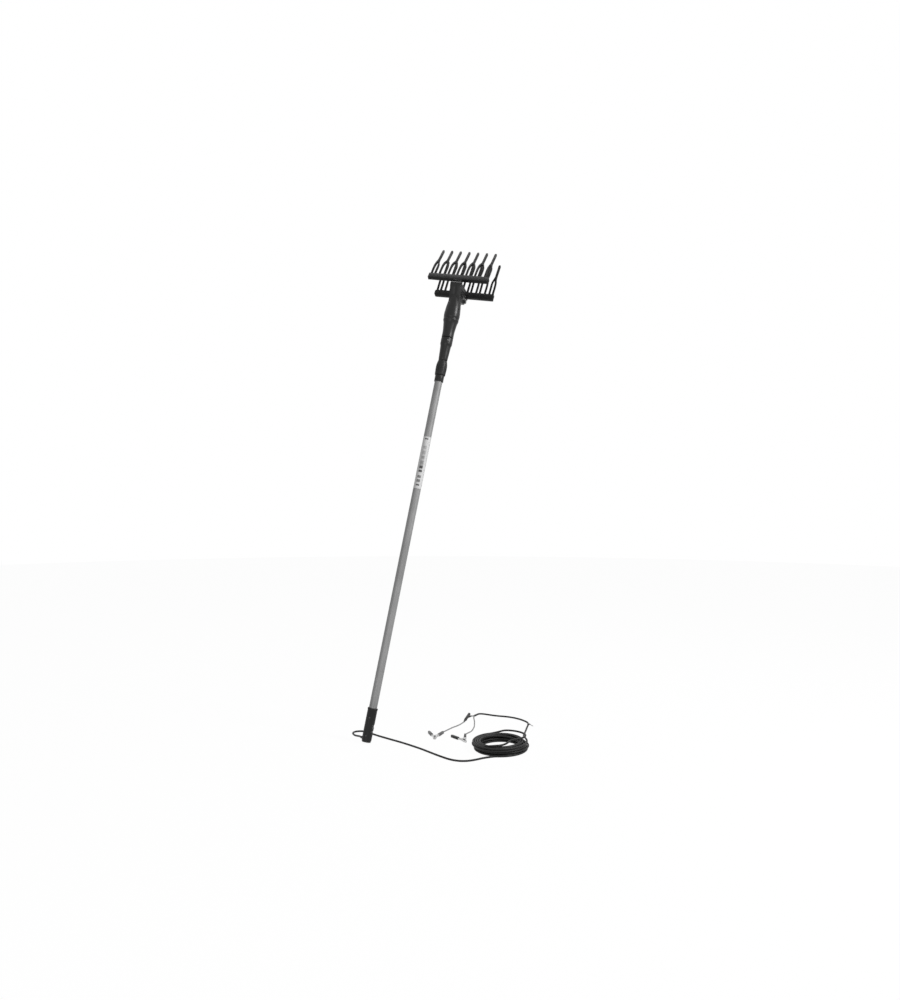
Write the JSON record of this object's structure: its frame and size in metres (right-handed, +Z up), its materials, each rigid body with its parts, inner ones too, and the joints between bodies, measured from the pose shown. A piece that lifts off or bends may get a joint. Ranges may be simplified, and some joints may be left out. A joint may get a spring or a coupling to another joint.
{
  "type": "electric olive harvester",
  "caption": "Battery-driven olive harvester: telescopic aluminium pole with two opposed shaking combs on a motor head, switch handle, coiled cable, fuse and battery clamps.",
  "frame": {"origin": "centre of the handle butt's flat end, on the pole's axis", "axes": "+Z up from the floor, +Y backwards, the way the pole leans most, +X to the side of the switch; the pole leans 13.5 degrees from +Z"},
  "size_m": [0.7972, 0.7443, 2.2246],
  "materials": {
    "casing_plastic": "lightly textured, satin",
    "comb_plastic": "satin",
    "handle_plastic": "lightly textured, matte",
    "nut_plastic": "satin",
    "switch_plastic": "semi-gloss",
    "tube_aluminium": "grey anodised, satin",
    "lever_alloy": "cast, painted black, satin",
    "dark_steel": "blackened, satin",
    "steel": "brushed",
    "zinc_steel": "bright plated",
    "motor_steel": "satin plated",
    "cable_rubber": "matte",
    "lead_sheath": "satin",
    "boot_rubber": "matte",
    "grip_black": "semi-gloss",
    "grip_grey": "semi-gloss",
    "label_film": "semi-gloss",
    "tie_nylon": "semi-gloss",
    "fuse_glass": "clear"
  },
  "bodies": {
    "lower_pole": {"butt_cap": "handle_plastic", "handle_front_shell": "handle_plastic", "handle_back_shell": "handle_plastic", "handle_screws": "dark_steel", "switch_body": "switch_plastic", "switch_spring": "steel", "strain_relief": "boot_rubber", "lower_tube": "tube_aluminium", "label_plate": "label_film", "collet": "nut_plastic", "supply_lead": "cable_rubber", "cable_run": "cable_rubber", "cable_coil": "cable_rubber", "cable_tail": "cable_rubber", "cable_tie": "tie_nylon", "lead_splitter": "boot_rubber", "fuse_lead": "lead_sheath", "fuse_holder": "boot_rubber", "fuse_cap": "boot_rubber", "fuse": "fuse_glass", "positive_lead": "lead_sheath", "negative_lead": "lead_sheath", "positive_fixed_jaw": "zinc_steel", "positive_clamp_pin": "steel", "positive_clamp_spring": "steel", "positive_fixed_grip": "grip_grey", "negative_fixed_jaw": "zinc_steel", "negative_clamp_pin": "steel", "negative_clamp_spring": "steel", "negative_fixed_grip": "grip_black"},
    "extension": {"sliding_tube": "tube_aluminium", "neck_adapter": "casing_plastic", "neck_screws": "zinc_steel", "case_left_shell": "casing_plastic", "case_right_shell": "casing_plastic", "case_screws": "zinc_steel", "motor": "motor_steel", "motor_plate": "lever_alloy", "bearing_plate": "lever_alloy", "crank_bearings": "steel", "front_pivot_pin": "dark_steel", "rear_pivot_pin": "dark_steel"},
    "lock": {"lock_nut": "nut_plastic"},
    "button": {"switch_button": "switch_plastic"},
    "rotor": {"motor_shaft": "steel"},
    "crank_shaft": {"crank": "steel"},
    "front_comb": {"front_lever": "lever_alloy", "front_bar": "comb_plastic", "front_tines": "comb_plastic", "front_comb_bolts": "zinc_steel"},
    "rear_comb": {"rear_lever": "lever_alloy", "rear_bar": "comb_plastic", "rear_tines": "comb_plastic", "rear_comb_bolts": "zinc_steel"},
    "positive_clamp_jaw": {"positive_moving_jaw": "zinc_steel", "positive_moving_grip": "grip_grey"},
    "negative_clamp_jaw": {"negative_moving_jaw": "zinc_steel", "negative_moving_grip": "grip_black"}
  },
  "joints": [
    {"name": "pole_slide", "type": "slide", "parent": "lower_pole", "child": "extension", "axis": [0.1453, 0.1822, 0.9725], "range_m": [0, 0.8]},
    {"name": "lock_nut_turn", "type": "hinge", "parent": "lower_pole", "child": "lock", "pos_m": [0.24344, 0.30524, 1.62886], "axis": [0.1453, 0.1822, 0.9725], "range_deg": [0, 90]},
    {"name": "switch_press", "type": "slide", "parent": "lower_pole", "child": "button", "axis": [-0.989, 0, 0.1478], "range_m": [0, 0.003], "stiffness_N_per_m": 300, "deforming": ["switch_spring"]},
    {"name": "motor_spin", "type": "hinge", "parent": "extension", "child": "rotor", "pos_m": [0.27323, 0.3426, 1.82821], "axis": [0.1453, 0.1822, 0.9725], "continuous": true},
    {"name": "crank_spin", "type": "hinge", "parent": "extension", "child": "crank_shaft", "pos_m": [0.28319, 0.36323, 1.89484], "axis": [0.1453, 0.1822, 0.9725], "continuous": true},
    {"name": "front_comb_swing", "type": "hinge", "parent": "extension", "child": "front_comb", "pos_m": [0.29569, 0.39172, 1.97854], "axis": [0.989, 0, -0.1478], "range_deg": [-7.5, 7.5]},
    {"name": "rear_comb_swing", "type": "hinge", "parent": "extension", "child": "rear_comb", "pos_m": [0.29275, 0.43767, 1.95885], "axis": [0.989, 0, -0.1478], "range_deg": [-7.5, 7.5]},
    {"name": "positive_clamp_open", "type": "hinge", "parent": "lower_pole", "child": "positive_clamp_jaw", "pos_m": [0.258, 0.16, 0.00077], "axis": [0, 0, -1], "range_deg": [0, 28], "stiffness_Nm_per_rad": 0.4, "springref_deg": -28.65},
    {"name": "negative_clamp_open", "type": "hinge", "parent": "lower_pole", "child": "negative_clamp_jaw", "pos_m": [0.389, 0.147, 0.00077], "axis": [0, 0, -1], "range_deg": [0, 28], "stiffness_Nm_per_rad": 0.4, "springref_deg": -28.65}
  ],
  "couplings": [
    {"joint": "crank_spin", "follows": "motor_spin", "ratio": 0.38461},
    {"joint": "rear_comb_swing", "follows": "front_comb_swing", "ratio": -1}
  ]
}
